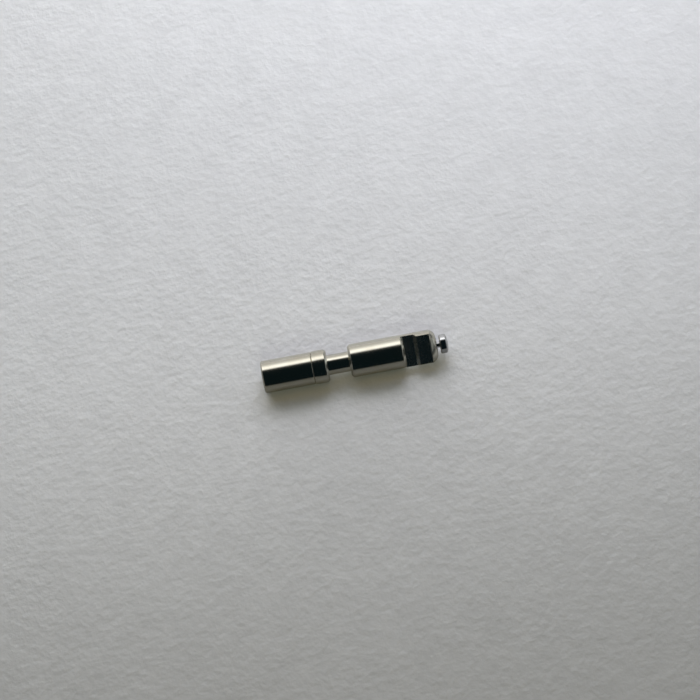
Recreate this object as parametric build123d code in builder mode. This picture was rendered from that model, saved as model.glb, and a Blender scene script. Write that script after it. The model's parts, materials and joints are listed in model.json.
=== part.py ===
from build123d import *
import math
import os

# A telescopic watch stem, lying on its side. Sizes are in millimetres.
# The axis is X, from the crown end at zero towards the movement, and Z is up.
# The crown screws into the barrel. The shaft slides in the barrel against a coil spring,
# and its hexagonal drive head turns with the barrel. The coupling stud hooks the movement's half.

# Barrel and retaining cap
body_dia = 1.50
barrel_relief = 0.02
barrel_length = 2.30
barrel_end_chamfer = 0.06
barrel_seam_chamfer = 0.04
cap_length = 0.66
cap_skirt_wall = 0.08
cap_end_wall = 0.25
cap_chamfer = 0.09
cap_crimp_length = 0.19
mouth_gap = 0.02
mouth_wall = 0.08

# Crown socket, drilled for tapping
socket_dia = 0.72
socket_countersink = 0.05
socket_floor_wall = 0.13
drill_point_angle = 118

# Neck and bearing journal
neck_dia = 0.90
neck_clearance = 0.02
neck_exposed = 0.98
journal_length = 2.50
journal_chamfer = 0.10

# Stepped key: two flats, cut deep beside the journal and shallow beside the end flange
key_deep_thickness = 0.275
key_deep_length = 0.48
key_ramp_length = 0.13
key_shallow_thickness = 0.63
key_shallow_length = 0.58
key_roll = 40
flange_length = 0.27
flange_bevel_drop = 0.25
flange_bevel_bulge = 0.04

# Drive head, riveted on the shaft's tail
head_length = 0.38
head_edge = 0.03
tail_dia = 0.50
drive_clearance = 0.015
rivet_height = 0.05

# Return spring and the travel that it allows
travel = 0.80
wire_dia = 0.08
wire_sides = 12
spring_turns = 4
spring_side_clearance = 0.05
spring_seat_gap = 0.005
spring_spare_length = 0.06

# Coupling stud, pressed into the end of the shaft
stud_shank_dia = 0.36
stud_shank_length = 0.70
stud_hole_relief = 0.03
stud_neck_dia = 0.26
stud_neck_length = 0.15
stud_head_dia = 0.86
stud_back_round = 0.07
stud_rim_length = 0.18
stud_dome_height = 0.12

# One overrun for every cut
overrun = 0.20

# Radii
body_r = body_dia / 2
barrel_r = body_r - barrel_relief
spigot_r = body_r - cap_skirt_wall
chamber_corner_r = spigot_r - mouth_wall
chamber_flat_r = chamber_corner_r * math.cos(math.pi / 6)
head_flat_r = chamber_flat_r - drive_clearance
neck_r = neck_dia / 2
cap_bore_r = neck_r + neck_clearance
socket_r = socket_dia / 2
tail_r = tail_dia / 2
shank_r = stud_shank_dia / 2
wire_r = wire_dia / 2
coil_r = chamber_flat_r - spring_side_clearance - wire_r
stud_neck_r = stud_neck_dia / 2
stud_head_r = stud_head_dia / 2

# Angles about the axis, from level: the way a flat of the key faces, and half the arc of its end wall
key_normal_angle = 90 + key_roll
key_half_arc = math.degrees(math.acos(key_deep_thickness / 2 / body_r))

# Places along the axis, from the crown end
seam_x = barrel_length
cap_face_x = seam_x + cap_length
cap_inner_x = cap_face_x - cap_end_wall
mouth_x = cap_inner_x - mouth_gap
head_back_x = cap_inner_x - head_length
spring_solid_length = (spring_turns + 1) * wire_dia + spring_spare_length
chamber_floor_x = head_back_x - travel - spring_solid_length
drill_point = socket_r / math.tan(math.radians(drill_point_angle / 2))
socket_depth = chamber_floor_x - socket_floor_wall - drill_point
shoulder_x = cap_face_x + neck_exposed
key_start_x = shoulder_x + journal_length
ramp_start_x = key_start_x + key_deep_length
shallow_start_x = ramp_start_x + key_ramp_length
flange_start_x = shallow_start_x + key_shallow_length
flange_face_x = flange_start_x + flange_length
stud_head_x = flange_face_x + stud_neck_length
stud_rim_x = stud_head_x + stud_back_round
stud_dome_x = stud_rim_x + stud_rim_length
stud_tip_x = stud_dome_x + stud_dome_height
stud_hole_depth = stud_shank_length + stud_hole_relief

os.makedirs("parts", exist_ok=True)

# Barrel: a turned sleeve with a spigot at its mouth, a tapped socket for the crown
# and a blind hexagonal chamber for the drive head and the spring.
with BuildPart() as barrel:
    with BuildSketch(Plane.XY):
        with BuildLine():
            Polyline(
                (0, 0),
                (0, barrel_r),
                (seam_x, barrel_r),
                (seam_x, spigot_r),
                (mouth_x, spigot_r),
                (mouth_x, 0),
                close=True,
            )
        make_face()
    revolve(axis=Axis.X)
    outer_rims = barrel.edges().filter_by(GeomType.CIRCLE).filter_by(lambda rim: rim.radius > spigot_r)
    chamfer(outer_rims.sort_by(Axis.X)[0], length=barrel_end_chamfer)
    chamfer(outer_rims.sort_by(Axis.X)[-1], length=barrel_seam_chamfer)
    with BuildSketch(Plane.YZ.offset(mouth_x)):
        RegularPolygon(radius=chamber_corner_r, side_count=6, rotation=key_roll)
    extrude(amount=chamber_floor_x - mouth_x, mode=Mode.SUBTRACT)
    with BuildSketch(Plane.XY):
        with BuildLine():
            Polyline(
                (0, 0),
                (0, socket_r + socket_countersink),
                (socket_countersink, socket_r),
                (socket_depth, socket_r),
                (socket_depth + drill_point, 0),
                close=True,
            )
        make_face()
    revolve(axis=Axis.X, mode=Mode.SUBTRACT)
barrel.part.label = "barrel"
export_step(barrel.part, "parts/barrel.step")

# Retaining cap: pressed over the barrel's spigot, its lip crimped down to the barrel's size.
# Its end wall guides the neck and holds the drive head in.
with BuildPart() as retaining_cap:
    with BuildSketch(Plane.XY):
        with BuildLine():
            Polyline(
                (seam_x, spigot_r),
                (seam_x, barrel_r),
                (seam_x + cap_crimp_length, body_r),
                (cap_face_x - cap_chamfer, body_r),
                (cap_face_x, body_r - cap_chamfer),
                (cap_face_x, cap_bore_r),
                (cap_inner_x, cap_bore_r),
                (cap_inner_x, spigot_r),
                close=True,
            )
        make_face()
    revolve(axis=Axis.X)
retaining_cap.part.label = "retaining_cap"
export_step(retaining_cap.part, "parts/retaining_cap.step")

# Drive head: a hexagon with broken corners, riveted on the tail and sliding in the chamber.
with BuildPart() as drive_head:
    with BuildSketch(Plane.YZ.offset(head_back_x)):
        RegularPolygon(radius=head_flat_r, side_count=6, major_radius=False, rotation=key_roll)
    extrude(amount=head_length)
    chamfer(drive_head.edges().filter_by(Axis.X), length=head_edge)
    with BuildSketch(Plane.YZ.offset(head_back_x)):
        Circle(radius=tail_r)
    extrude(amount=head_length, mode=Mode.SUBTRACT)
drive_head.part.label = "drive_head"
export_step(drive_head.part, "parts/drive_head.step")

# Shaft: tail, neck, journal, key and flange, turned in one piece and then milled and drilled.
# The flange's end is a bevel with a slight bulge, which starts where the flats of the key end.
key_plane = Plane(
    origin=(key_start_x, 0, 0),
    x_dir=(1, 0, 0),
    z_dir=(0, math.cos(math.radians(key_roll)), math.sin(math.radians(key_roll))),
)
with BuildPart() as shaft:
    with BuildSketch(Plane.XY):
        with BuildLine():
            Polyline(
                (head_back_x - rivet_height, 0),
                (head_back_x - rivet_height, tail_r - rivet_height),
                (head_back_x, tail_r),
                (cap_inner_x, tail_r),
                (cap_inner_x, neck_r),
                (shoulder_x, neck_r),
                (shoulder_x, body_r - journal_chamfer),
                (shoulder_x + journal_chamfer, body_r),
                (flange_start_x, body_r),
            )
            SagittaArc(
                (flange_start_x, body_r),
                (flange_face_x, body_r - flange_bevel_drop),
                sagitta=flange_bevel_bulge,
            )
            Polyline(
                (flange_face_x, body_r - flange_bevel_drop),
                (flange_face_x, 0),
                (head_back_x - rivet_height, 0),
            )
        make_face()
    revolve(axis=Axis.X)
    with BuildSketch(key_plane):
        with BuildLine():
            Polyline(
                (0, key_deep_thickness / 2),
                (key_deep_length, key_deep_thickness / 2),
                (key_deep_length + key_ramp_length, key_shallow_thickness / 2),
                (flange_start_x - key_start_x, key_shallow_thickness / 2),
                (flange_start_x - key_start_x, body_r + overrun),
                (0, body_r + overrun),
                close=True,
            )
        make_face()
        mirror(about=Plane.XZ)
    extrude(amount=body_r + overrun, both=True, mode=Mode.SUBTRACT)
    for wall_angle in (key_normal_angle, key_normal_angle + 180):
        with BuildSketch(Plane.XY.rotated((wall_angle - key_half_arc, 0, 0))):
            with BuildLine():
                Polyline(
                    (key_start_x - journal_chamfer, body_r),
                    (key_start_x, body_r - journal_chamfer),
                    (key_start_x, body_r + overrun),
                    (key_start_x - journal_chamfer, body_r + overrun),
                    close=True,
                )
            make_face()
        revolve(axis=Axis.X, revolution_arc=2 * key_half_arc, mode=Mode.SUBTRACT)
    with BuildSketch(Plane.YZ.offset(flange_face_x)):
        Circle(radius=shank_r)
    extrude(amount=-stud_hole_depth, mode=Mode.SUBTRACT)
shaft.part.label = "shaft"
export_step(shaft.part, "parts/shaft.step")

# Coupling stud: a plain shank in the shaft's drilled end, a thin neck and a domed head.
with BuildPart() as coupling_stud:
    with BuildSketch(Plane.XY):
        with BuildLine():
            Polyline(
                (stud_tip_x, 0),
                (flange_face_x - stud_shank_length, 0),
                (flange_face_x - stud_shank_length, shank_r - stud_hole_relief),
                (flange_face_x - stud_shank_length + stud_hole_relief, shank_r),
                (flange_face_x, shank_r),
                (flange_face_x, stud_neck_r),
                (stud_head_x, stud_neck_r),
                (stud_head_x, stud_head_r - stud_back_round),
            )
            RadiusArc(
                (stud_head_x, stud_head_r - stud_back_round),
                (stud_rim_x, stud_head_r),
                radius=stud_back_round,
            )
            Line((stud_rim_x, stud_head_r), (stud_dome_x, stud_head_r))
            EllipticalCenterArc(
                (stud_dome_x, 0),
                x_radius=stud_dome_height,
                y_radius=stud_head_r,
                start_angle=0,
                arc_size=90,
            )
        make_face()
    revolve(axis=Axis.X)
coupling_stud.part.label = "coupling_stud"
export_step(coupling_stud.part, "parts/coupling_stud.step")

# Return spring: an open coil of fine wire between the chamber's floor and the drive head.
# The wire's round section is drawn with short flat sides, which keeps the coil light.
coil_start_x = chamber_floor_x + wire_r + spring_seat_gap
coil_end_x = head_back_x - wire_r - spring_seat_gap
coil_lead = (coil_end_x - coil_start_x) / (2 * math.pi * spring_turns)


def coil_point(angle):
    """A point of the wire's centre line, that angle in radians along the coil."""
    return Vector(coil_start_x + coil_lead * angle, coil_r * math.cos(angle), coil_r * math.sin(angle))


def coil_tangent(angle):
    """The wire's direction at that angle."""
    return Vector(coil_lead, -coil_r * math.sin(angle), coil_r * math.cos(angle)).normalized()


def quarter_turn(angle):
    """Two arcs with one tangent where they meet, along a quarter turn from that angle."""
    start = coil_point(angle)
    end = coil_point(angle + math.pi / 2)
    start_way = coil_tangent(angle)
    end_way = coil_tangent(angle + math.pi / 2)
    chord = end - start
    both_ways = start_way + end_way
    spread = 2 * (1 - start_way.dot(end_way))
    slope = chord.dot(both_ways)
    reach = (math.sqrt(slope**2 + spread * chord.dot(chord)) - slope) / spread
    middle = (start + start_way * reach + end - end_way * reach) / 2
    first = TangentArc(start, middle, tangent=start_way)
    TangentArc(middle, end, tangent=first % 1)


with BuildPart() as return_spring:
    with BuildLine() as wire_path:
        for quarter in range(4 * spring_turns):
            quarter_turn(quarter * math.pi / 2)
    with BuildSketch(Plane(origin=coil_point(0), z_dir=coil_tangent(0))):
        RegularPolygon(radius=wire_r, side_count=wire_sides)
    sweep(path=wire_path.line)
return_spring.part.label = "return_spring"
export_step(return_spring.part, "parts/return_spring.step")

# The least gap between one turn of the wire and the next, measured on points
samples = 200
wire_points = [wire_path.line @ (step / samples) for step in range(samples + 1)]
points_per_turn = samples // spring_turns
coil_gap = min(
    (wire_points[later] - wire_points[earlier]).length
    for earlier in range(samples + 1)
    for later in range(earlier + points_per_turn // 2, samples + 1)
) - wire_dia
print("least gap between the spring's turns", round(coil_gap, 3))
print("socket depth", round(socket_depth, 3), "chamber floor", round(chamber_floor_x, 3))
print("length over all", round(stud_tip_x, 3))
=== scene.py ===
"""A telescopic watch stem lying on pale paper: its finished surfaces, light and camera.

The pieces are worked out in millimetres about the stem's axis, which is X, and written in metres.
"""

import json
import logging
from dataclasses import dataclass
from enum import Enum
from math import cos, pi, radians, sin, tan
from typing import Any

import bpy
import numpy as np
from mathutils import Matrix, Vector

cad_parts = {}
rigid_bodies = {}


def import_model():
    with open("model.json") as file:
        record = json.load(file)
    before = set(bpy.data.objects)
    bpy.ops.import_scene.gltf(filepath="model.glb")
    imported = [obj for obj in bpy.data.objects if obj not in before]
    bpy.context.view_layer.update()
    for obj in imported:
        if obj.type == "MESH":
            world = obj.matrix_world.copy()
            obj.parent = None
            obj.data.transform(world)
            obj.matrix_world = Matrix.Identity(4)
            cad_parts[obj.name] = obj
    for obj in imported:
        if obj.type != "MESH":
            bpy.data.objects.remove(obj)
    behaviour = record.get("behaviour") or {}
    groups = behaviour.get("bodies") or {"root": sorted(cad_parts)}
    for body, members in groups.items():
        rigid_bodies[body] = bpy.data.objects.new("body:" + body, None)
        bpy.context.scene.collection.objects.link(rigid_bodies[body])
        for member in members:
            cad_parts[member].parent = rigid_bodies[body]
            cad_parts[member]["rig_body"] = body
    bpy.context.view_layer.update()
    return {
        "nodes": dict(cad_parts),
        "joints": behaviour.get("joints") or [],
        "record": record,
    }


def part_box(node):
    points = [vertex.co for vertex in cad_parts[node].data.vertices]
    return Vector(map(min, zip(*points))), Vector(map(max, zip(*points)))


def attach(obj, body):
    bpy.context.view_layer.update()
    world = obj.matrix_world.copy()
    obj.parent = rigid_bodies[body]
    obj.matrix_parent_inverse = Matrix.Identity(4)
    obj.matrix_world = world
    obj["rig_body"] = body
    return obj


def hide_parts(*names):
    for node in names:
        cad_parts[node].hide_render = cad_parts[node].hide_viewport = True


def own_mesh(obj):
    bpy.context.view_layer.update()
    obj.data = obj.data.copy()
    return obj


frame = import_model()

log = logging.getLogger("watch_stem")

MM = 0.001
TINY = 1e-9
MERGE_DIGITS = 5
ARC_STEPS = 4
TRIM_SHARE = 0.45
CAMERA_RANGE = (MM, 100.0)
MIX_FIRST, MIX_SECOND, MIX_RESULT = 6, 7, 2
FACETS = 180
AROUND = np.arange(FACETS) * 2 * pi / FACETS


def span(node: str) -> tuple[float, float]:
    """Where a construction piece starts and ends along the stem, in millimetres."""
    low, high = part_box(node)
    return low.x / MM, high.x / MM


def outer_radius(node: str) -> float:
    """The largest radius of a turned construction piece, in millimetres."""
    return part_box(node)[1].y / MM


def mount(name: str) -> dict[str, Any]:
    """The mount of that name in the frame's record."""
    return next(entry for entry in frame["record"]["mounts"] if entry["name"] == name)


def rounded(paths: np.ndarray, radii: np.ndarray) -> np.ndarray:
    """Rounds the corners of many paths at once.

    A corner becomes a true arc that touches both its sides at a trim length from the corner: the radius over
    the tangent of half the corner's angle. The arc is the rational curve through (1 - s) squared times its
    start, plus 2 w s (1 - s) times the corner, plus s squared times its end, over the sum of the three
    factors, where the weight w is the sine of that half angle. A trim is at most a share of the shorter
    side, so that arcs never cross. Ends, and corners of no radius, stay where they are.

    Args:
        paths: The corners, shaped (paths, corners, 3).
        radii: One radius for each corner.

    Returns:
        The points of the rounded paths, shaped (paths, points, 3).
    """
    back = np.roll(paths, 1, axis=1) - paths
    ahead = np.roll(paths, -1, axis=1) - paths
    back_length = np.linalg.norm(back, axis=-1, keepdims=True)
    ahead_length = np.linalg.norm(ahead, axis=-1, keepdims=True)
    back = back / np.maximum(back_length, TINY)
    ahead = ahead / np.maximum(ahead_length, TINY)
    half = np.arccos(np.clip(np.sum(back * ahead, axis=-1, keepdims=True), -1, 1)) / 2
    room = TRIM_SHARE * np.minimum(back_length, ahead_length)
    trim = np.minimum(radii[None, :, None] / np.tan(np.maximum(half, TINY)), room)
    start = (paths + back * trim)[:, :, None, :]
    end = (paths + ahead * trim)[:, :, None, :]
    corner = paths[:, :, None, :]
    s = np.linspace(0, 1, ARC_STEPS + 1)[None, None, :, None]
    start_pull, end_pull = (1 - s) ** 2, s**2
    corner_pull = 2 * np.sin(half)[:, :, None, :] * s * (1 - s)
    total = start_pull + corner_pull + end_pull
    arcs = (start_pull * start + corner_pull * corner + end_pull * end) / total
    return arcs.reshape(len(paths), -1, 3)


def about_axis(x: np.ndarray, radius: np.ndarray, angle: np.ndarray) -> np.ndarray:
    """Points at a place along the axis, a radius and an angle from +Y towards +Z, as one array."""
    x, radius, angle = np.broadcast_arrays(x, radius, angle)
    return np.stack([x, radius * np.cos(angle), radius * np.sin(angle)], axis=-1)


def turned(profile: list[tuple[float, float, float]], angles: np.ndarray) -> np.ndarray:
    """Paths of one profile turned about the axis.

    Args:
        profile: Corners as (place along the axis, radius, rounding).
        angles: The angle of each path.

    Returns:
        The rounded paths, shaped (angles, points, 3).
    """
    x, radius, rounding = np.array(profile, float).T
    return rounded(about_axis(x[None, :], radius[None, :], angles[:, None]), rounding)


def skin(name: str, grid: np.ndarray, ring: bool = False) -> bpy.types.Mesh:
    """A closed mesh over a grid of points.

    Points that coincide become one, and faces that shrink to nothing are left out. The shading normal of a
    vertex is the sum of the area vectors of its faces, so broad faces stay flat beside narrow roundings.

    Args:
        name: The mesh's name.
        grid: Points in millimetres, shaped (paths, points, 3). The last path meets the first.
        ring: Whether each path's end also meets its start.

    Returns:
        The mesh in metres, with its faces outwards.
    """
    paths, places = grid.shape[:2]
    index = np.arange(paths * places).reshape(paths, places)
    index = np.vstack([index, index[:1]])
    if ring:
        index = np.hstack([index, index[:, :1]])
    quads = np.stack([index[:-1, :-1], index[1:, :-1], index[1:, 1:], index[:-1, 1:]], axis=-1).reshape(-1, 4)
    flat = grid.reshape(-1, 3)
    keys = np.round(flat, MERGE_DIGITS) + 0.0
    _, first, merged = np.unique(keys, axis=0, return_index=True, return_inverse=True)
    points = flat[first]
    quads = merged.reshape(-1)[quads]
    kept = quads != np.roll(quads, 1, axis=1)
    whole = kept.sum(axis=1) > 2
    quads, kept = quads[whole], kept[whole]

    corners = points[quads]
    area = np.cross(corners[:, 2] - corners[:, 0], corners[:, 3] - corners[:, 1]) / 2
    if np.sum(area * corners.mean(axis=1)) < 0:
        quads, kept, area = quads[:, ::-1], kept[:, ::-1], -area
    normals = np.zeros_like(points)
    np.add.at(normals, quads.ravel(), np.repeat(area, 4, axis=0))
    normals /= np.maximum(np.linalg.norm(normals, axis=1, keepdims=True), TINY**2)

    sides = kept.sum(axis=1)
    mesh = bpy.data.meshes.new(name)
    mesh.vertices.add(len(points))
    mesh.vertices.foreach_set("co", (points * MM).astype(np.float32).ravel())
    mesh.loops.add(int(sides.sum()))
    mesh.loops.foreach_set("vertex_index", quads[kept].astype(np.int32))
    mesh.polygons.add(len(sides))
    mesh.polygons.foreach_set("loop_start", (np.cumsum(sides) - sides).astype(np.int32))
    mesh.update(calc_edges=True)
    mesh.shade_smooth()
    mesh.normals_split_custom_set_from_vertices(normals.astype(np.float32))
    return mesh


def face_centres(mesh: bpy.types.Mesh) -> np.ndarray:
    """The centre of each face of a mesh, in millimetres."""
    centres = np.empty(len(mesh.polygons) * 3, np.float32)
    mesh.polygons.foreach_get("center", centres)
    return centres.reshape(-1, 3).astype(float) / MM


@dataclass(frozen=True)
class Signal:
    """An output socket that takes part in Python expressions, each of which adds its Math node."""

    sheet: "NodeSheet"
    socket: bpy.types.NodeSocket

    def __add__(self, other: "Signal | float") -> "Signal":
        """The sum."""
        return self.sheet.math("ADD", self, other)

    def __radd__(self, other: float) -> "Signal":
        """The sum, with a number first."""
        return self.sheet.math("ADD", other, self)

    def __sub__(self, other: "Signal | float") -> "Signal":
        """The difference."""
        return self.sheet.math("SUBTRACT", self, other)

    def __rsub__(self, other: float) -> "Signal":
        """The difference, with a number first."""
        return self.sheet.math("SUBTRACT", other, self)

    def __mul__(self, other: "Signal | float") -> "Signal":
        """The product."""
        return self.sheet.math("MULTIPLY", self, other)

    def __rmul__(self, other: float) -> "Signal":
        """The product, with a number first."""
        return self.sheet.math("MULTIPLY", other, self)

    def __truediv__(self, other: "Signal | float") -> "Signal":
        """The quotient."""
        return self.sheet.math("DIVIDE", self, other)

    def __pow__(self, other: "Signal | float") -> "Signal":
        """The power."""
        return self.sheet.math("POWER", self, other)

    def __abs__(self) -> "Signal":
        """The value without its sign."""
        return self.sheet.math("ABSOLUTE", self)


class NodeSheet:
    """The node tree of one material or world, and the few ways in which nodes are added to it."""

    def __init__(self, tree: bpy.types.NodeTree) -> None:
        """Clears the tree."""
        self.tree = tree
        tree.nodes.clear()

    def node(
        self,
        kind: str,
        settings: dict[str, Any] | None = None,
        inputs: dict[Any, Any] | None = None,
        output: Any = 0,
    ) -> Signal:
        """Adds a node.

        Args:
            kind: Blender's name of the node's type.
            settings: The node's own settings, set first. Stops, for a ramp, is a list of (position, colour).
            inputs: Values or signals by socket name or index.
            output: Which output the signal is.

        Returns:
            The chosen output.
        """
        made = self.tree.nodes.new(kind)
        for name, value in (settings or {}).items():
            if name == "stops":
                elements = made.color_ramp.elements
                elements.remove(elements[0])
                elements[0].position, elements[0].color = value[0]
                for position, colour in value[1:]:
                    elements.new(position).color = colour
            else:
                setattr(made, name, value)
        for name, value in (inputs or {}).items():
            if isinstance(value, Signal):
                self.tree.links.new(value.socket, made.inputs[name])
            else:
                made.inputs[name].default_value = value
        return Signal(self, made.outputs[output])

    def surface(self, kind: str, shader: Signal) -> None:
        """Links a shader to a new output node of a type."""
        self.tree.links.new(shader.socket, self.tree.nodes.new(kind).inputs["Surface"])

    def principled(
        self, colour: Signal, metallic: float, roughness: Signal | float, height: Signal, depth: float
    ) -> None:
        """Ends a material in a Principled shader.

        Args:
            colour: The base colour.
            metallic: How metallic it is.
            roughness: Its roughness.
            height: The bump's height.
            depth: What a height of 1 stands for, in metres.
        """
        bump = self.node("ShaderNodeBump", inputs={"Strength": 1.0, "Distance": depth, "Height": height})
        looks = {"Base Color": colour, "Metallic": metallic, "Roughness": roughness, "Normal": bump}
        self.surface("ShaderNodeOutputMaterial", self.node("ShaderNodeBsdfPrincipled", inputs=looks))

    def math(self, operation: str, *terms: Signal | float) -> Signal:
        """A Math node on one, two or three terms."""
        return self.node("ShaderNodeMath", {"operation": operation}, dict(enumerate(terms)))

    def coordinates(self, which: str) -> Signal:
        """A vector of the Texture Coordinate node."""
        return self.node("ShaderNodeTexCoord", output=which)

    def parts(self, vector: Signal) -> tuple[Signal, Signal, Signal]:
        """The three parts of a vector."""
        split = self.node("ShaderNodeSeparateXYZ", inputs={0: vector})
        outputs = split.socket.node.outputs
        return split, Signal(self, outputs[1]), Signal(self, outputs[2])

    def scaled(self, vector: Any, factor: Signal | float) -> Signal:
        """A vector or colour times a factor."""
        return self.node("ShaderNodeVectorMath", {"operation": "SCALE"}, {0: vector, "Scale": factor})

    def vector(self, x: Signal | float, y: Signal | float, z: Signal | float) -> Signal:
        """A vector of three values."""
        return self.node("ShaderNodeCombineXYZ", inputs={0: x, 1: y, 2: z})

    def noise(self, place: Signal, scale: float, detail: float = 2.0) -> Signal:
        """Smooth noise from 0 to 1 at a place, where detail is how many finer layers it has."""
        return self.node("ShaderNodeTexNoise", inputs={"Vector": place, "Scale": scale, "Detail": detail})

    def step(self, value: Signal, low: float, high: float) -> Signal:
        """A smooth step from 0 at low to 1 at high, where low may be the larger."""
        return self.node(
            "ShaderNodeMapRange",
            {"interpolation_type": "SMOOTHSTEP"},
            {"Value": value, "From Min": low, "From Max": high, "To Min": 0.0, "To Max": 1.0},
        )

    def blend(self, share: Signal | float, first: Any, second: Any) -> Signal:
        """A colour between two, at a share of the way from the first. Mix names its sockets alike."""
        inputs = {0: share, MIX_FIRST: first, MIX_SECOND: second}
        return self.node("ShaderNodeMix", {"data_type": "RGBA"}, inputs, output=MIX_RESULT)


def opaque(colour: tuple[float, float, float]) -> tuple[float, float, float, float]:
    """The colour with a full alpha."""
    return (*colour, 1.0)


class Marks(Enum):
    """Which way a finish's fine tool marks run."""

    TURNED = "rings about the axis"
    MILLED = "straight across the stem"
    DRAWN = "along the wire"


@dataclass(frozen=True)
class Edge:
    """A worn edge: a ring at a place along the axis and a radius, or every edge at a radius."""

    radius: float
    x: float | None = None


@dataclass(frozen=True)
class Metal:
    """A metal's colours: as it was made, under haze, and where handling has worn it."""

    bright: tuple[float, float, float]
    tarnished: tuple[float, float, float]
    worn: tuple[float, float, float]


NICKEL = Metal((0.665, 0.635, 0.545), (0.60, 0.555, 0.445), (0.74, 0.70, 0.60))
MILLED_NICKEL = Metal((0.62, 0.625, 0.58), (0.54, 0.545, 0.50), (0.74, 0.70, 0.60))
STEEL = Metal((0.57, 0.57, 0.575), (0.47, 0.465, 0.46), (0.66, 0.66, 0.665))


@dataclass(frozen=True)
class MetalFinish:
    """A plated or polished metal with tool marks, haze, hairlines and worn edges.

    Lengths are in millimetres and depths in micrometres. A rate is how fast a pattern changes to the
    millimetre, and a run is that rate along the marks. A pair of noise levels is where an effect starts and
    where it is full. The rough values are what marks, haze and hairlines add to the roughness, and what wear
    takes off it.
    """

    name: str
    metal: Metal
    marks: Marks
    roughness: float = 0.13
    mark_rate: float = 55.0
    mark_run: float = 1.1
    mark_depth: float = 0.05
    mark_rough: float = 0.07
    band_rate: float = 7.0
    band_run: float = 0.4
    band_depth: float = 0.25
    wire_run: float = 3.0
    haze_rate: float = 1.3
    haze_levels: tuple[float, float] = (0.35, 0.75)
    haze_share: float = 0.6
    haze_rough: float = 0.035
    hairline_width: float = 0.012
    hairline_depth: float = 0.05
    hairline_rough: float = 0.05
    patch_rate: float = 2.3
    patch_levels: tuple[float, float] = (0.45, 0.65)
    wear_width: float = 0.02
    wear_core: float = 0.2
    wear_rate: float = 9.0
    wear_levels: tuple[float, float] = (0.35, 0.6)
    wear_share: float = 0.7
    wear_rough: float = 0.03
    edges: tuple[Edge, ...] = ()

    def material(self) -> bpy.types.Material:
        """Builds the node tree.

        Returns:
            A metal whose colour, roughness and bump vary, and whose other sockets are constants.
        """
        material = bpy.data.materials.new(self.name)
        material.use_nodes = True
        sheet = NodeSheet(material.node_tree)
        place = sheet.scaled(sheet.coordinates("Object"), 1 / MM)
        x, y, z = sheet.parts(place)
        radius = (y * y + z * z) ** 0.5
        marks, bands = self._tool_marks(sheet, x, y, z, radius)
        haze = sheet.step(sheet.noise(place, self.haze_rate, 4.0), *self.haze_levels)
        hairlines = self._hairlines(sheet, x, y, z)
        wear = self._wear(sheet, place, x, radius)

        colour = sheet.blend(haze * self.haze_share, opaque(self.metal.bright), opaque(self.metal.tarnished))
        colour = sheet.blend(wear * self.wear_share, colour, opaque(self.metal.worn))
        roughness = self.roughness + (marks - 0.5) * self.mark_rough + haze * self.haze_rough
        roughness = roughness + hairlines * self.hairline_rough - wear * self.wear_rough
        micron = MM * MM
        height = marks * (self.mark_depth * micron) + bands * (self.band_depth * micron)
        height = height - hairlines * (self.hairline_depth * micron)
        sheet.principled(colour, 1.0, roughness, height, 1.0)
        return material

    def _tool_marks(
        self, sheet: NodeSheet, x: Signal, y: Signal, z: Signal, radius: Signal
    ) -> tuple[Signal, Signal]:
        """Fine marks and broader bands of the cutting tool.

        Both are noise that runs fast across the marks and slowly along them. Across turned marks runs the
        place along the axis plus the radius, so that the marks are rings on faces and chamfers too.

        Args:
            sheet: The node tree.
            x: The place along the axis.
            y: The place across.
            z: The height.
            radius: The distance from the axis.

        Returns:
            The marks and the bands, each from 0 to 1.
        """
        if self.marks is Marks.DRAWN:
            across = radius * self.wire_run + y
            fine = sheet.noise(sheet.vector(x * self.wire_run, across * self.mark_rate, z), 1.0, 3.0)
            return fine, sheet.noise(sheet.vector(x, across * self.band_rate, z), 1.0, 1.0)
        across = x + radius if self.marks is Marks.TURNED else x
        fine = sheet.vector(across * self.mark_rate, y * self.mark_run, z * self.mark_run)
        broad = sheet.vector(across * self.band_rate, y * self.band_run, z * self.band_run)
        return sheet.noise(fine, 1.0, 3.0), sheet.noise(broad, 1.0, 1.0)

    def _hairlines(self, sheet: NodeSheet, x: Signal, y: Signal, z: Signal) -> Signal:
        """Sparse hairline scratches, where stretched noise crosses its middle value.

        Noise that changes slowly along X gives those that run along the stem, and noise that changes slowly
        along Y those across it. What is added from another direction slants them. They show in patches.

        Args:
            sheet: The node tree.
            x: The place along the axis.
            y: The place across.
            z: The height.

        Returns:
            The scratches, from 0 to 1.
        """
        first = sheet.noise(sheet.vector(x * 1.4 + y * 2.0, y * 16.0 - x * 3.0, z * 16.0), 1.0)
        second = sheet.noise(sheet.vector(x * 18.0 + z * 9.0, y * 1.7, z * 2.2 - x * 2.0), 1.0)
        patches = sheet.step(sheet.noise(sheet.vector(x, y, z), self.patch_rate), *self.patch_levels)
        width = self.hairline_width
        lines = sheet.step(abs(first - 0.5), width, 0.0) + sheet.step(abs(second - 0.5), width, 0.0)
        return lines * patches

    def _wear(self, sheet: NodeSheet, place: Signal, x: Signal, radius: Signal) -> Signal:
        """Where an edge is worn: near one of the edges, broken up by noise.

        Args:
            sheet: The node tree.
            place: The place in millimetres.
            x: The place along the axis.
            radius: The distance from the axis.

        Returns:
            The wear, from 0 to 1.
        """
        worn: Signal | float = 0.0
        for edge in self.edges:
            away = abs(radius - edge.radius)
            if edge.x is not None:
                along = x - edge.x
                away = (along * along + away * away) ** 0.5
            near = sheet.step(away, self.wear_width, self.wear_width * self.wear_core)
            worn = sheet.math("MAXIMUM", worn, near)
        return worn * sheet.step(sheet.noise(place, self.wear_rate, 3.0), *self.wear_levels)


def in_scene(name: str, data: bpy.types.ID) -> bpy.types.Object:
    """A new object in the scene, over its mesh, lamp or camera."""
    made = bpy.data.objects.new(name, data)
    bpy.context.scene.collection.objects.link(made)
    return made


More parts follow.
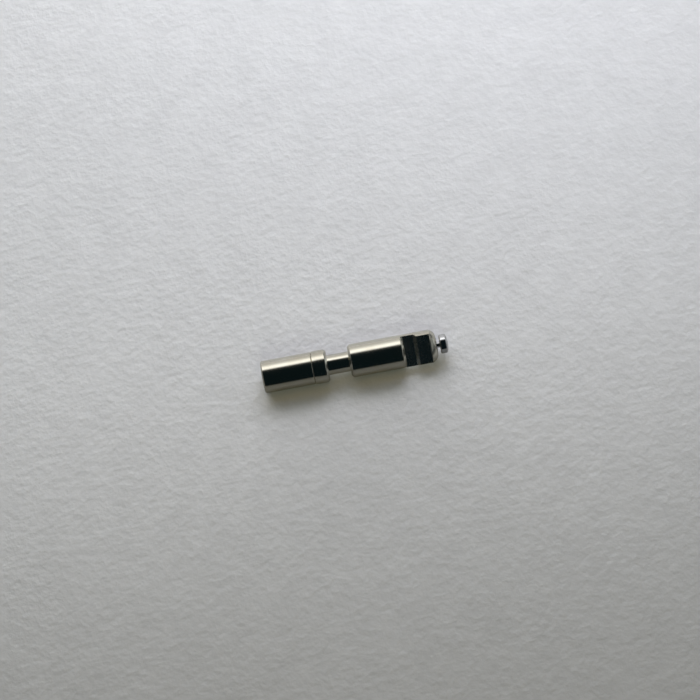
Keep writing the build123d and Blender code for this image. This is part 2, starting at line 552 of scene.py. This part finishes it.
def finish_piece(name: str, mesh: bpy.types.Mesh, node: str, finishes: list[MetalFinish]) -> bpy.types.Object:
    """Puts a finished mesh in the place of its construction piece.

    Args:
        name: The piece's name.
        mesh: The mesh, in metres and in place.
        node: The construction piece that it stands for, whose body it takes.
        finishes: The finishes, in the order of the mesh's material indices.

    Returns:
        The piece.
    """
    piece = in_scene(name, mesh)
    for finish in finishes:
        mesh.materials.append(finish.material())
    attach(piece, frame["nodes"][node]["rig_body"])
    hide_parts(node)
    log.info("%s stands for %s with %d faces", name, node, len(mesh.polygons))
    return piece


@dataclass
class CrownSide:
    """The barrel with its retaining cap and the spring inside. Lengths are in millimetres."""

    end_chamfer: float = 0.06
    seam_chamfer: float = 0.04
    spigot_wall: float = 0.08
    mouth_wall: float = 0.08
    countersink: float = 0.05
    drill_point_angle: float = 118.0
    thread_pitch: float = 0.225
    thread_depth: float = 0.09
    thread_run_out: float = 0.10
    thread_rows: int = 30
    groove_edge: float = -0.35
    groove_floor: float = 0.75
    crimp_length: float = 0.19
    cap_chamfer: float = 0.09
    cap_end_wall: float = 0.25
    bore_clearance: float = 0.02
    neck_radius: float = 0.45
    edge_round: float = 0.008
    seam_round: float = 0.04
    bevel_round: float = 0.08
    spring_turns: int = 4
    turn_steps: int = 64
    wire_radius: float = 0.04
    wire_facets: int = 24

    def __post_init__(self) -> None:
        """Takes the places and radii that the frame gives."""
        self.end_x, self.mouth_x = span("barrel")
        self.seam_x, self.cap_face_x = span("retaining_cap")
        self.barrel_radius = outer_radius("barrel")
        self.cap_radius = outer_radius("retaining_cap")
        self.spigot_radius = self.cap_radius - self.spigot_wall
        self.chamber_corner_radius = self.spigot_radius - self.mouth_wall
        spring = frame["joints"][0]["deforming_nodes"][0]
        self.chamber_floor_x = spring["fixed_end_x_m"] / MM
        socket = mount("crown_socket")["dims"]
        self.socket_radius = socket["r_mm"]
        self.socket_depth = socket["length_mm"] + self.countersink
        self.drill_point = self.socket_radius / tan(radians(self.drill_point_angle / 2))
        self.corner_angle = key_angle() - pi / 2

    def barrel_mesh(self) -> bpy.types.Mesh:
        """The barrel: outside, threaded socket and hexagonal chamber as one skin, from pole to pole.

        A point of the chamber's wall lies at the flat's distance over the cosine of the angle from the
        flat's middle. The thread's groove is as deep as a smooth step of the wave cos(2 pi (x / pitch -
        turn)), from the wave's value at the groove's edge to its value at the floor. It fades in at the
        mouth and out before the drill's point.
        """
        angles = self.corner_angle + AROUND
        third = pi / 3
        flat_share = cos(third / 2) / np.cos((angles - self.corner_angle) % third - third / 2)
        hexagon = self.chamber_corner_radius * flat_share
        fine = self.edge_round
        outside = [
            (self.mouth_x, self.spigot_radius, fine),
            (self.seam_x, self.spigot_radius, fine),
            (self.seam_x, self.barrel_radius - self.seam_chamfer, fine),
            (self.seam_x - self.seam_chamfer, self.barrel_radius, self.seam_round),
            (self.end_x + self.end_chamfer, self.barrel_radius, 2 * fine),
            (self.end_x, self.barrel_radius - self.end_chamfer, 2 * fine),
            (self.end_x, self.socket_radius + self.countersink, fine),
            (self.end_x + self.countersink, self.socket_radius, 0),
        ]
        x, radius, rounding = np.array(outside).T
        turned_points = about_axis(x[None, :], radius[None, :], angles[:, None])
        chamber_x = np.array([self.chamber_floor_x, self.chamber_floor_x, self.mouth_x])
        chamber_radius = np.stack([0 * hexagon, hexagon, hexagon], axis=1)
        chamber = about_axis(chamber_x[None, :], chamber_radius, angles[:, None])
        paths = np.concatenate([chamber, turned_points], axis=1)
        shell = rounded(paths, np.array([0, fine, fine, *rounding]))

        rows = round((self.socket_depth - self.countersink) / self.thread_pitch * self.thread_rows)
        thread_x = np.linspace(self.end_x + self.countersink, self.socket_depth, rows)
        wave = np.cos(2 * pi * thread_x[None, :] / self.thread_pitch - angles[:, None])
        groove = smooth((wave - self.groove_edge) / (self.groove_floor - self.groove_edge))
        fade = smooth((thread_x - self.end_x) / self.thread_run_out)
        fade = fade * smooth((self.socket_depth - thread_x) / self.thread_run_out)
        thread_radius = self.socket_radius + self.thread_depth * groove * fade[None, :]
        thread = about_axis(thread_x[None, :], thread_radius, angles[:, None])
        tip_x = np.array([[self.socket_depth + self.drill_point]])
        point = about_axis(tip_x, np.zeros((1, 1)), angles[:, None])
        return skin("barrel_turned", np.concatenate([shell, thread, point], axis=1))

    def cap_mesh(self) -> bpy.types.Mesh:
        """The retaining cap: a ring turned from one closed profile."""
        bore = self.neck_radius + self.bore_clearance
        inner_x = self.cap_face_x - self.cap_end_wall
        fine = self.edge_round
        profile = [
            (self.seam_x, self.spigot_radius, fine / 2),
            (self.seam_x, self.barrel_radius, fine),
            (self.seam_x + self.crimp_length, self.cap_radius, 6 * fine),
            (self.cap_face_x - self.cap_chamfer, self.cap_radius, self.bevel_round),
            (self.cap_face_x, self.cap_radius - self.cap_chamfer, fine),
            (self.cap_face_x, bore, 2 * fine),
            (inner_x, bore, fine),
            (inner_x, self.spigot_radius, fine / 2),
        ]
        return skin("cap_pressed", turned(profile, AROUND), ring=True)

    def spring_mesh(self) -> bpy.types.Mesh:
        """The spring: a circle carried along a helix, closed at both ends.

        The helix is (start + lead a, R cos a, R sin a). The wire's circle stands on its outward direction
        (0, cos a, sin a) and on the cross product of the tangent with that.
        """
        start_x, end_x = (end + side * self.wire_radius for end, side in zip(span("return_spring"), (1, -1)))
        coil_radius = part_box("return_spring")[1].y / MM - self.wire_radius
        whole = 2 * pi * self.spring_turns
        turn = np.linspace(0, whole, self.turn_steps * self.spring_turns + 1)[None, :, None]
        lead = (end_x - start_x) / whole
        flat = np.zeros_like(turn)
        outward = np.concatenate([flat, np.cos(turn), np.sin(turn)], axis=-1)
        sideways, upwards = -coil_radius * np.sin(turn), coil_radius * np.cos(turn)
        along = np.concatenate([flat + lead, sideways, upwards], axis=-1)
        along /= np.linalg.norm(along, axis=-1, keepdims=True)
        centre = coil_radius * outward + np.concatenate([start_x + lead * turn, flat, flat], axis=-1)
        around = (np.arange(self.wire_facets) * 2 * pi / self.wire_facets)[:, None, None]
        ring = np.cos(around) * outward + np.sin(around) * np.cross(along, outward)
        tube = centre + self.wire_radius * ring
        ends = np.broadcast_to(centre, tube.shape)
        return skin("spring_coil", np.concatenate([ends[:, :1], tube, ends[:, -1:]], axis=1))

    def build(self) -> None:
        """Makes and dresses the three pieces."""
        barrel_edges = (
            Edge(self.barrel_radius - self.end_chamfer, self.end_x),
            Edge(self.barrel_radius, self.end_x + self.end_chamfer),
            Edge(self.barrel_radius, self.seam_x - self.seam_chamfer),
            Edge(self.socket_radius + self.countersink, self.end_x),
        )
        cap_edges = (
            Edge(self.cap_radius, self.cap_face_x - self.cap_chamfer),
            Edge(self.cap_radius - self.cap_chamfer, self.cap_face_x),
            Edge(self.barrel_radius, self.seam_x),
        )
        barrel = MetalFinish("nickel_turned_barrel", NICKEL, Marks.TURNED, edges=barrel_edges)
        cap = MetalFinish("nickel_turned_cap", NICKEL, Marks.TURNED, mark_rate=70.0, edges=cap_edges)
        wire = MetalFinish("spring_wire", STEEL, Marks.DRAWN, roughness=0.22, mark_rate=30.0)
        finish_piece("barrel_turned", self.barrel_mesh(), "barrel", [barrel])
        finish_piece("cap_pressed", self.cap_mesh(), "retaining_cap", [cap])
        spring = finish_piece("spring_coil", self.spring_mesh(), "return_spring", [wire])
        spring_end_x = span("return_spring")[1]
        travel = frame["joints"][0]["range_m"][1] / MM
        keep = 1 - travel / (spring_end_x - self.chamber_floor_x)
        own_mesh(spring)


def smooth(share: np.ndarray) -> np.ndarray:
    """The smooth step 3 s squared minus 2 s cubed of a share held between 0 and 1."""
    held = np.clip(share, 0, 1)
    return held * held * (3 - 2 * held)


def key_angle() -> float:
    """The angle from +Y towards +Z in which the key's front flat faces."""
    _, across, up = mount("key_flat_front")["axis"]
    return float(np.arctan2(up, across))


@dataclass
class MovementSide:
    """The shaft with the drive head and the coupling stud. Lengths are in millimetres."""

    rivet_height: float = 0.05
    tail_radius: float = 0.25
    neck_radius: float = 0.45
    cap_end_wall: float = 0.25
    neck_exposed: float = 0.98
    journal_length: float = 2.50
    journal_chamfer: float = 0.10
    deep_length: float = 0.48
    ramp_length: float = 0.13
    shallow_length: float = 0.58
    shallow_thickness: float = 0.63
    flange_bevel_drop: float = 0.25
    flange_bevel_bulge: float = 0.04
    shank_radius: float = 0.18
    shank_length: float = 0.70
    hole_relief: float = 0.03
    stud_neck_radius: float = 0.13
    stud_neck_length: float = 0.15
    stud_back_round: float = 0.07
    stud_rim_length: float = 0.18
    stud_dome_height: float = 0.12
    head_flat_radius: float = 0.496
    head_corner_cut: float = 0.015
    edge_round: float = 0.008
    key_edge_round: float = 0.012
    bevel_round: float = 0.08
    flat_columns: int = 28
    corner_columns: int = 4
    strip_columns: int = 8
    ramp_stations: int = 7
    bevel_stations: int = 13
    dome_stations: int = 28

    def __post_init__(self) -> None:
        """Takes the places and radii that the frame gives."""
        self.tail_x, self.flange_face_x = span("shaft")
        self.body_radius = outer_radius("shaft")
        self.stud_head_radius = outer_radius("coupling_stud")
        self.head_back_x, self.head_front_x = span("drive_head")
        flat = mount("key_flat_front")
        self.deep_half = float(np.dot(flat["pos_m"], flat["axis"])) / MM
        self.shallow_half = self.shallow_thickness / 2
        self.cap_face_x = span("retaining_cap")[1]
        self.shoulder_x = self.cap_face_x + self.neck_exposed
        self.key_x = self.shoulder_x + self.journal_length
        self.ramp_x = self.key_x + self.deep_length
        self.shallow_x = self.ramp_x + self.ramp_length
        self.flange_x = self.shallow_x + self.shallow_length

    def key_section(self, half: np.ndarray) -> tuple[np.ndarray, np.ndarray]:
        """Cross-sections of the key: a disc cut by two flats, with rounded edges.

        A rounding touches the flat and the circle, so its centre lies at the body's radius less the
        rounding from the axis, and at half the thickness less the rounding from the middle. Up to the foot
        of that centre a point lies on the flat, then on the rounding, and then on the circle. The other
        three quarters mirror the first.

        Args:
            half: Half the key's thickness at each station.

        Returns:
            The angle from the flat's normal and the radius, each shaped (columns, stations).
        """
        rounding = self.key_edge_round
        half = half[None, :]
        reach = self.body_radius - rounding
        bend = np.arccos((half - rounding) / reach)
        foot = reach * np.sin(bend)
        foot_angle = np.arctan2(foot, half)
        flat_share = np.linspace(0, 1, self.flat_columns, endpoint=False)[:, None]
        corner_share = np.linspace(0, 1, self.corner_columns, endpoint=False)[:, None]
        strip_share = np.linspace(0, 1, self.strip_columns, endpoint=False)[:, None]
        flat_angle = flat_share * foot_angle
        flat_radius = half / np.cos(flat_angle)
        corner_out = half - rounding + rounding * np.cos(corner_share * bend)
        corner_across = foot + rounding * np.sin(corner_share * bend)
        strip_angle = bend + strip_share * (pi / 2 - bend)
        angle = np.concatenate([flat_angle, np.arctan2(corner_across, corner_out), strip_angle])
        corner_radius = np.hypot(corner_out, corner_across)
        radius = np.concatenate([flat_radius, corner_radius, np.full_like(strip_angle, self.body_radius)])
        end_angle, end_radius = np.full_like(half, pi / 2), np.full_like(half, self.body_radius)
        angle = np.concatenate([angle, end_angle, pi - angle[:0:-1]])
        radius = np.concatenate([radius, end_radius, radius[:0:-1]])
        return np.concatenate([angle, angle + pi]), np.concatenate([radius, radius])

    def bevel_points(self) -> list[tuple[float, float, float]]:
        """The flange's bulged bevel between its ends, as places, radii and roundings of nought.

        The bevel is an arc over a chord. Its radius is (c c / 4 + b b) / (2 b) for a chord c and a bulge b,
        and to each side of the chord's normal it spans half its angle: the arc sine of c / 2 over the radius.
        """
        chord = np.array([self.flange_face_x - self.flange_x, -self.flange_bevel_drop])
        length = np.linalg.norm(chord)
        along, outward = chord / length, np.array([-chord[1], chord[0]]) / length
        arc_radius = (length**2 / 4 + self.flange_bevel_bulge**2) / (2 * self.flange_bevel_bulge)
        middle = np.array([self.flange_x, self.body_radius]) + chord / 2
        centre = middle - outward * (arc_radius - self.flange_bevel_bulge)
        half_angle = np.arcsin(length / 2 / arc_radius)
        turns = np.linspace(-half_angle, half_angle, self.bevel_stations)[1:-1, None]
        points = centre + arc_radius * (np.cos(turns) * outward + np.sin(turns) * along)
        return [(x, radius, 0) for x, radius in points]

    def shaft_mesh(self) -> bpy.types.Mesh:
        """The shaft: tail, neck, journal, key and flange as one skin, from pole to pole.

        Each station has a place, a turned radius and half a thickness, which stays as it is beside the key
        so that the paths run straight on. On the key a path takes the section's radius, and elsewhere the
        turned one. At the key's end walls two stations share a place. The journal's end bevel is as deep as
        the section below it allows, so that it dies out where the flats do.
        """
        deep, shallow, fine = self.deep_half, self.shallow_half, self.edge_round
        body = self.body_radius
        hole_end_x = self.flange_face_x - self.shank_length - self.hole_relief
        ramp = np.linspace(0, 1, self.ramp_stations)[1:-1]
        inner_x = self.cap_face_x - self.cap_end_wall
        before = [
            (self.tail_x, 0, 0),
            (self.tail_x, self.tail_radius - self.rivet_height, fine),
            (self.head_back_x, self.tail_radius, fine),
            (inner_x, self.tail_radius, fine),
            (inner_x, self.neck_radius, fine),
            (self.shoulder_x, self.neck_radius, 2 * fine),
            (self.shoulder_x, body - self.journal_chamfer, fine),
            (self.shoulder_x + self.journal_chamfer, body, 2 * fine),
            (self.key_x - self.journal_chamfer, body, self.bevel_round),
        ]
        after = [
            (self.flange_x, body, fine),
            *self.bevel_points(),
            (self.flange_face_x, body - self.flange_bevel_drop, 2 * fine),
            (self.flange_face_x, self.shank_radius, fine),
            (hole_end_x, self.shank_radius, fine),
            (hole_end_x, 0, 0),
        ]
        ramp_x = self.ramp_x + ramp * self.ramp_length
        key_x = np.array([self.key_x, self.ramp_x, *ramp_x, self.shallow_x, self.flange_x])
        key_half = np.array([deep, deep, *(deep + ramp * (shallow - deep)), shallow, shallow])
        key_round = np.array([2 * fine, 3 * fine, *(0 * ramp), 3 * fine, 2 * fine])
        before_x, before_radius, before_round = np.array(before, float).T
        after_x, after_radius, after_round = np.array(after, float).T
        half = np.concatenate([np.full(len(before) + 1, deep), key_half, np.full(len(after), shallow)])
        angle, section = self.key_section(half)
        rim = np.maximum(body - self.journal_chamfer, section[:, :1])
        columns = np.ones((len(angle), 1))
        x = np.concatenate([before_x, [self.key_x], key_x, after_x])
        key_part = slice(len(before) + 1, len(before) + 1 + len(key_x))
        key_radius = section[:, key_part]
        radius = np.concatenate([columns * before_radius, rim, key_radius, columns * after_radius], axis=1)
        rounding = np.concatenate([before_round, [fine], key_round, after_round])
        points = about_axis(x[None, :], radius, angle + key_angle())
        return skin("shaft_milled", rounded(points, rounding))

    def face_finishes(self, mesh: bpy.types.Mesh) -> np.ndarray:
        """The finish of each face of the shaft: nought is turned, one is milled and two is turned dull."""
        x, across, up = face_centres(mesh).T
        radius = np.hypot(across, up)
        middle = np.abs(across * cos(key_angle()) + up * sin(key_angle()))
        beside = (x > self.key_x - TINY) & (x < self.flange_x + TINY)
        cut = beside & (radius < self.body_radius - self.key_edge_round)
        walls = (np.abs(x - self.key_x) < self.edge_round) | (np.abs(x - self.flange_x) < self.edge_round)
        milled = cut & (walls | (middle < self.shallow_half + self.edge_round))
        dull = ~milled & (x > self.flange_x)
        return milled.astype(np.int32) + 2 * dull.astype(np.int32)

    def head_mesh(self) -> bpy.types.Mesh:
        """The drive head: a ring with a hexagonal outside.

        Its outer radius is the smaller of two: the flat's distance over the cosine of the angle from the
        flat's middle, and the broken corner's distance over the cosine of the angle from the corner.
        """
        angles = key_angle() - pi / 2 + AROUND
        third = pi / 3
        turn = AROUND % third
        corner = self.head_flat_radius / cos(third / 2) - self.head_corner_cut
        flat = self.head_flat_radius / np.cos(turn - third / 2)
        outside = np.minimum(flat, corner / np.cos(np.minimum(turn, third - turn)))
        fine = self.edge_round
        x = np.array([self.head_back_x, self.head_back_x, self.head_front_x, self.head_front_x])
        inside = np.full_like(outside, self.tail_radius)
        radius = np.stack([inside, outside, outside, inside], axis=1)
        points = about_axis(x[None, :], radius, angles[:, None])
        paths = rounded(points, np.array([fine, 2 * fine, 2 * fine, fine]))
        return skin("head_hexagon", paths, ring=True)

    def stud_mesh(self) -> bpy.types.Mesh:
        """The coupling stud: shank, thin neck, rim and dome, turned from pole to pole.

        The dome is a quarter of an ellipse: its place is the rim's end plus the height times the sine of a
        share of a right angle, and its radius the head's radius times the cosine of the same.
        """
        fine = self.edge_round
        back_x = self.flange_face_x - self.shank_length
        head_x = self.flange_face_x + self.stud_neck_length
        dome_x = head_x + self.stud_back_round + self.stud_rim_length
        profile = [
            (back_x, 0, 0),
            (back_x, self.shank_radius - self.hole_relief, fine),
            (back_x + self.hole_relief, self.shank_radius, fine),
            (self.flange_face_x, self.shank_radius, fine),
            (self.flange_face_x, self.stud_neck_radius, fine),
            (head_x, self.stud_neck_radius, 3 * fine),
            (head_x, self.stud_head_radius, self.stud_back_round),
            (dome_x, self.stud_head_radius, 0),
        ]
        rise = np.linspace(0, pi / 2, self.dome_stations)[1:]
        dome = about_axis(
            dome_x + self.stud_dome_height * np.sin(rise)[None, :],
            self.stud_head_radius * np.cos(rise).round(MERGE_DIGITS + 2)[None, :],
            AROUND[:, None],
        )
        return skin("stud_domed", np.concatenate([turned(profile, AROUND), dome], axis=1))

    def build(self) -> None:
        """Makes and dresses the three pieces."""
        body, face = self.body_radius, self.flange_face_x
        shaft_edges = (
            Edge(body - self.journal_chamfer, self.shoulder_x),
            Edge(body, self.shoulder_x + self.journal_chamfer),
            Edge(body, self.key_x - self.journal_chamfer),
            Edge(body - self.journal_chamfer, self.key_x),
            Edge(body, self.flange_x),
            Edge(body - self.flange_bevel_drop, face),
            Edge(self.shank_radius, face),
        )
        milled_edges = (Edge(body - self.key_edge_round / 2),)
        turned_finish = MetalFinish("nickel_turned_shaft", NICKEL, Marks.TURNED, edges=shaft_edges)
        coarse = {"roughness": 0.25, "mark_rate": 42.0}
        milled_finish = MetalFinish(
            "nickel_milled_key", MILLED_NICKEL, Marks.MILLED, **coarse, mark_depth=0.08, edges=milled_edges
        )
        dull_finish = MetalFinish(
            "nickel_dull_flange", NICKEL, Marks.TURNED, **coarse, mark_depth=0.1, edges=shaft_edges
        )
        mesh = self.shaft_mesh()
        mesh.polygons.foreach_set("material_index", self.face_finishes(mesh))
        finish_piece("shaft_milled", mesh, "shaft", [turned_finish, milled_finish, dull_finish])
        stud_edges = (Edge(self.stud_head_radius),)
        stud = MetalFinish("steel_turned_stud", STEEL, Marks.TURNED, mark_rate=80.0, edges=stud_edges)
        finish_piece("stud_domed", self.stud_mesh(), "coupling_stud", [stud])
        head = MetalFinish("steel_milled_head", STEEL, Marks.MILLED, roughness=0.2)
        finish_piece("head_hexagon", self.head_mesh(), "drive_head", [head])


@dataclass(frozen=True)
class SoftBox:
    """A broad soft lamp that faces the stem. It lights the paper, and metal mirrors the dome instead."""

    name: str
    place: tuple[float, float, float]
    width: float
    height: float
    level: float
    colour: tuple[float, float, float] = (1.0, 1.0, 1.0)

    def hang(self, target: Vector) -> None:
        """Puts the lamp in its place, turned to the target. Its level is its brightness at any size."""
        lamp = bpy.data.lights.new(self.name, "AREA")
        lamp.shape = "RECTANGLE"
        lamp.size, lamp.size_y = self.width * MM, self.height * MM
        lamp.energy = self.level * pi * lamp.size * lamp.size_y
        lamp.color = self.colour
        holder = in_scene(self.name, lamp)
        place = Vector(self.place)
        turn = (place - target).to_track_quat("Z", "Y").to_matrix().to_4x4()
        holder.matrix_world = Matrix.Translation(place * MM) @ turn
        holder.visible_glossy = False
        holder.visible_camera = False


@dataclass
class Studio:
    """The paper, the light around it and the camera. Lengths are in millimetres and angles in degrees.

    A pair is where a smooth step starts and where it is full: on the paper at places in millimetres, and on
    the dome at shares of the direction along X, Y or Z.
    """

    paper_reach: float = 2000.0
    paper: tuple[float, float, float] = (0.88, 0.88, 0.885)
    paper_level: float = 0.86
    grain_rate: float = 3.2
    grain_level: float = 0.05
    grain_height: float = 0.024
    mottle_rate: float = 0.9
    mottle_level: float = 0.13
    paper_sheen: float = 0.6
    paper_roughness: float = 0.5
    # Painted shade on the paper, darker towards the near side.
    far_side: tuple[float, float] = (-20.0, 4.0)
    painted_far_light_gain: float = 0.28
    painted_near_shade_level: float = 0.60
    # Painted shade on the paper that only glossy rays see, near the stem and to the right of the near side.
    near_stem: tuple[float, float] = (0.5, -0.5)
    near_stem_shade: float = 0.22
    stem_shade: float = 0.20
    stem_shade_end: tuple[float, float] = (10.0, 8.6)
    right_shade_reach: tuple[float, float] = (10.6, 13.0)
    right_shade: float = 0.72
    backdrop: tuple[float, float, float] = (0.52, 0.52, 0.52)
    dark: tuple[float, float, float] = (0.0041, 0.0086, 0.0105)
    side_glow: tuple[float, float, float] = (0.93, 1.0, 1.03)
    window_strength: float = 1.6
    window_stops: tuple[tuple[float, float], ...] = (
        (0, 0.41), (7, 0.40), (14, 0.41), (22, 0.46), (31, 0.64), (38, 0.91),
        (45, 1.01), (54, 1.02), (60, 0.54), (65, 0.05), (72, 0.01), (82, 0.0),
    )
    window_left: tuple[float, float] = (-0.9, -0.5)
    window_right: tuple[float, float] = (0.52, 0.28)
    right_reach: tuple[float, float] = (0.34, 0.62)
    right_top: tuple[float, float] = (0.92, 0.60)
    right_level: float = 0.06
    band_near: tuple[float, float] = (-0.06, 0.18)
    band_far: tuple[float, float] = (0.62, 0.42)
    band_top: tuple[float, float] = (0.38, 0.14)
    band_level: float = 0.60
    upper_start: tuple[float, float] = (0.2, 0.5)
    upper_level: float = 0.22
    left_reach: tuple[float, float] = (-0.5, -0.95)
    left_top: tuple[float, float] = (0.75, 0.2)
    left_level: float = 0.12
    boxes: tuple[SoftBox, ...] = (
        SoftBox("window_box", (20.0, 40.0, 42.0), 50.0, 16.0, 7.7, (0.81, 0.83, 0.96)),
        SoftBox("right_box", (150.0, 22.0, 64.0), 75.0, 50.0, 3.1, (0.92, 0.92, 0.97)),
        SoftBox("upper_box", (0.0, 28.0, 70.0), 60.0, 34.0, 1.15, (0.28, 0.54, 1.0)),
        SoftBox("low_box", (10.0, 58.0, 8.0), 90.0, 10.0, 11.5, (0.99, 1.0, 0.96)),
        SoftBox("near_box", (0.0, -90.0, 80.0), 80.0, 60.0, 3.1, (0.94, 1.0, 0.72)),
        SoftBox("over_box", (0.0, -10.0, 90.0), 60.0, 60.0, 1.0, (1.0, 0.68, 0.25)),
    )
    elevation: float = 68.0
    lean: float = 10.6
    distance: float = 88.8
    field: float = 20.0
    aim_x: float = 4.164
    aim_right: float = 0.191
    aim_up: float = -0.461

    def lay_paper(self) -> None:
        """The sheet of paper under the stem, with its grain."""
        floor_z = -outer_radius("shaft")
        reach = self.paper_reach
        corners = np.array([(-reach, -reach), (reach, -reach), (reach, reach), (-reach, reach)])
        points = np.column_stack([corners, np.full(4, floor_z)]) * MM
        mesh = bpy.data.meshes.new("paper")
        mesh.from_pydata(points.tolist(), [], [(0, 1, 2, 3)])
        sheet_of_paper = in_scene("paper", mesh)
        mesh.materials.append(self.paper_material())

    def paper_material(self) -> bpy.types.Material:
        """Satin paper with a fine grain and a faint mottle, with painted shade that makes it darker towards
        the near side.

        Its sheen throws the window's light forward. Painted shade, seen only by glossy rays, darkens it
        further where metal mirrors it from low down: all round the stem, more so on the near side, and most
        to the right of the near side.
        """
        material = bpy.data.materials.new("paper")
        material.use_nodes = True
        sheet = NodeSheet(material.node_tree)
        place = sheet.scaled(sheet.coordinates("Object"), 1 / MM)
        along, across, _ = sheet.parts(place)
        grain, mottle = sheet.noise(place, self.grain_rate, 3.0), sheet.noise(place, self.mottle_rate)
        # Painted shade: the paper's colour is darker towards the near side, standing in for the light falling
        # off there.
        far = sheet.step(across, *self.far_side)
        level = grain * self.grain_level + mottle * self.mottle_level + self.paper_level
        level = level * (far * self.painted_far_light_gain + self.painted_near_shade_level)
        # Painted shade seen only in reflections: glossy rays find the paper darker near the stem and to the
        # right of the near side.
        mirrored = sheet.node("ShaderNodeLightPath", output="Is Glossy Ray")
        near = sheet.step(across, *self.near_stem)
        stem_shade = (near * self.near_stem_shade + self.stem_shade) * sheet.step(along, *self.stem_shade_end)
        right_shade = near * sheet.step(along, *self.right_shade_reach) * self.right_shade
        level = level * (1 - mirrored * (stem_shade + right_shade))
        shade, depth = sheet.scaled(self.paper, level), self.grain_height * MM
        sheet.principled(shade, self.paper_sheen, self.paper_roughness, grain, depth)
        return material

    def light_up(self) -> None:
        """A studio dome: a broad soft window beyond the stem, dark overhead and low glows at both ends.

        The window's strength follows the angle about the stem's axis, up from the far horizon, by a ramp.
        The glow on the right is brightest in a low band on the far side and has a weaker part higher up.
        """
        world = bpy.data.worlds.new("studio")
        world.use_nodes = True
        bpy.context.scene.world = world
        sheet = NodeSheet(world.node_tree)
        x, y, z = sheet.parts(sheet.coordinates("Generated"))
        tilt = sheet.math("ARCTAN2", z, y) / pi
        stops = [(angle / 180, opaque((level, level, level))) for angle, level in self.window_stops]
        ramp = sheet.node("ShaderNodeValToRGB", {"stops": stops}, {0: tilt})
        window = sheet.scaled(ramp, self.window_strength)
        across = sheet.step(x, *self.window_left) * sheet.step(x, *self.window_right)
        band = sheet.step(y, *self.band_near) * sheet.step(y, *self.band_far) * sheet.step(z, *self.band_top)
        right = band * self.band_level
        right = right + sheet.step(z, *self.upper_start) * self.upper_level + self.right_level
        right_glow = sheet.step(x, *self.right_reach) * sheet.step(z, *self.right_top) * right
        left_glow = sheet.step(x, *self.left_reach) * sheet.step(z, *self.left_top) * self.left_level
        window = sheet.blend(across, opaque((0, 0, 0)), window)
        glow = sheet.blend(right_glow + left_glow, opaque(self.dark), opaque(self.side_glow))
        lit = sheet.node("ShaderNodeVectorMath", {"operation": "ADD"}, {0: window, 1: glow})
        seen = sheet.node("ShaderNodeLightPath", output="Is Camera Ray")
        colour = sheet.blend(seen, lit, opaque(self.backdrop))
        background = sheet.node("ShaderNodeBackground", inputs={"Color": colour, "Strength": 1.0})
        sheet.surface("ShaderNodeOutputWorld", background)
        for box in self.boxes:
            box.hang(Vector((self.aim_x, 0, 0)))

    def place_camera(self) -> None:
        """The camera: it looks square on the axis, from above the near side, and leans.

        Up in the picture is turned from the stem's own upright by the lean, and a point of the axis lands a
        little off the middle.
        """
        elevation, lean = radians(self.elevation), radians(self.lean)
        back = Vector((0, -cos(elevation), sin(elevation)))
        along = Vector((1, 0, 0))
        upright = back.cross(along)
        right = along * cos(lean) - upright * sin(lean)
        up = along * sin(lean) + upright * cos(lean)
        camera = in_scene("camera", bpy.data.cameras.new("camera"))
        camera.data.lens = camera.data.sensor_width / 2 / tan(radians(self.field / 2))
        camera.data.clip_start, camera.data.clip_end = CAMERA_RANGE
        location = along * self.aim_x + back * self.distance - right * self.aim_right - up * self.aim_up
        turn = Matrix((right, up, back)).transposed().to_4x4()
        camera.matrix_world = Matrix.Translation(location * MM) @ turn
        bpy.context.scene.camera = camera

    def build(self) -> None:
        """Sets the whole scene round the stem."""
        self.lay_paper()
        self.light_up()
        self.place_camera()
        bpy.context.scene.view_settings.view_transform = "Standard"


def main() -> None:
    """Builds the stem and the studio in order."""
    logging.basicConfig(level=logging.INFO, format="%(name)s: %(message)s")
    CrownSide().build()
    MovementSide().build()
    Studio().build()


if __name__ == "__main__":
    main()
